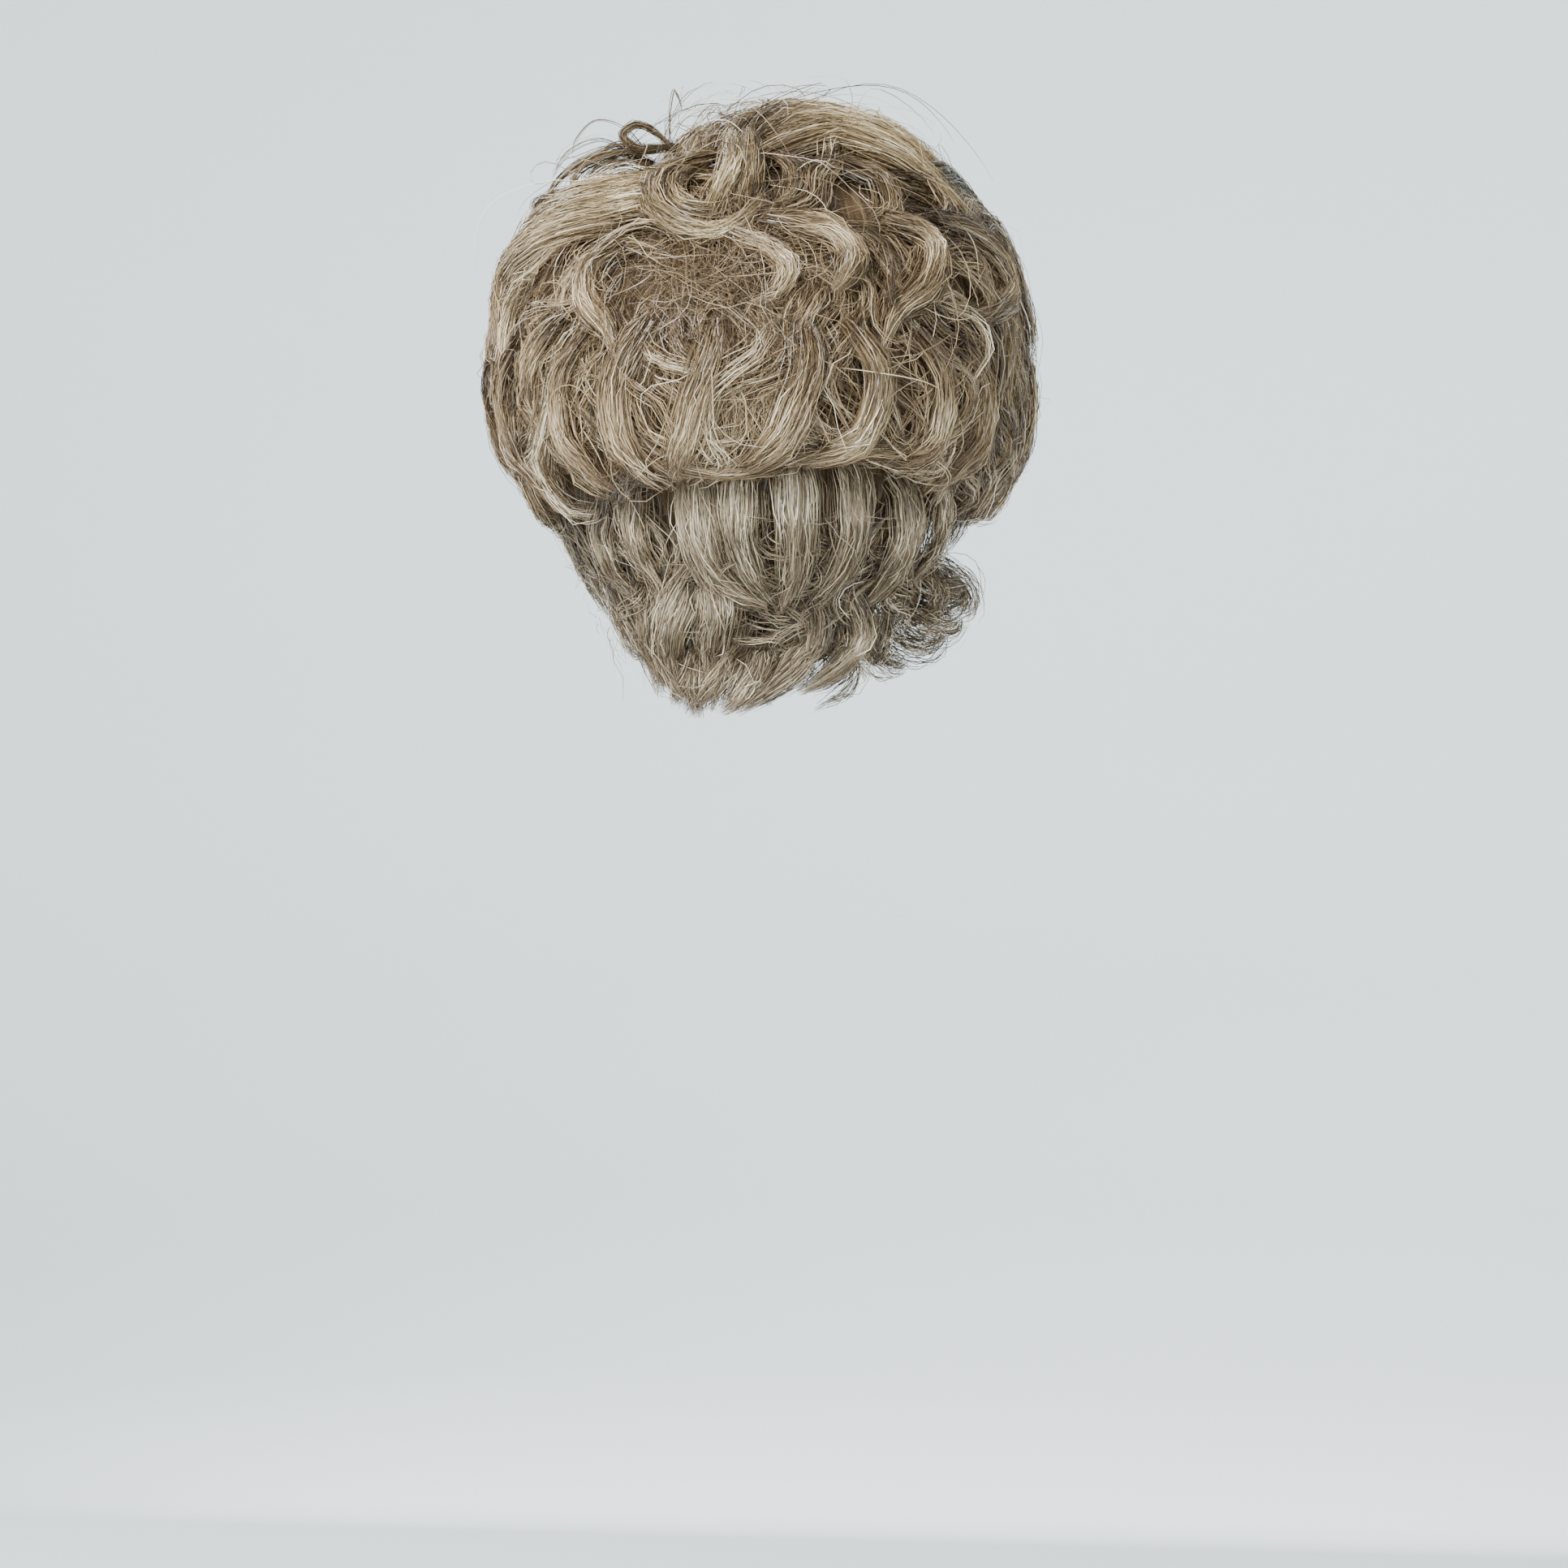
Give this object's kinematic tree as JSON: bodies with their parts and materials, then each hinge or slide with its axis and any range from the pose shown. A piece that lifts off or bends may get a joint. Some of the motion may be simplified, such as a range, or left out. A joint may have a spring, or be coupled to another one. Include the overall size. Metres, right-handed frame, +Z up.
{
  "type": "wig",
  "caption": "Short, layered, wavy wig: a fitted cap under curled sections of crown, side, back, fringe and nape hair, with an open head hollow.",
  "frame": {"origin": "top of the head, where the inside of the cap's crown rests", "axes": "+Z up, the wearer faces -Y, the wearer's left is +X"},
  "size_m": [0.2263, 0.2485, 0.2533],
  "materials": {
    "cap_net": "matt stretch net with sewn wefts",
    "crown_fibre": "satin synthetic fibre, warm ash blond",
    "hair_fibre": "satin synthetic fibre, ash taupe with silver highlights",
    "nape_fibre": "satin synthetic fibre, silver grey"
  },
  "bodies": {
    "root": {"wig_cap": "cap_net", "crown_hair": "crown_fibre", "back_hair": "hair_fibre", "right_side_hair": "hair_fibre", "left_side_hair": "hair_fibre", "fringe_hair": "crown_fibre", "nape_hair": "nape_fibre"}
  },
  "joints": []
}
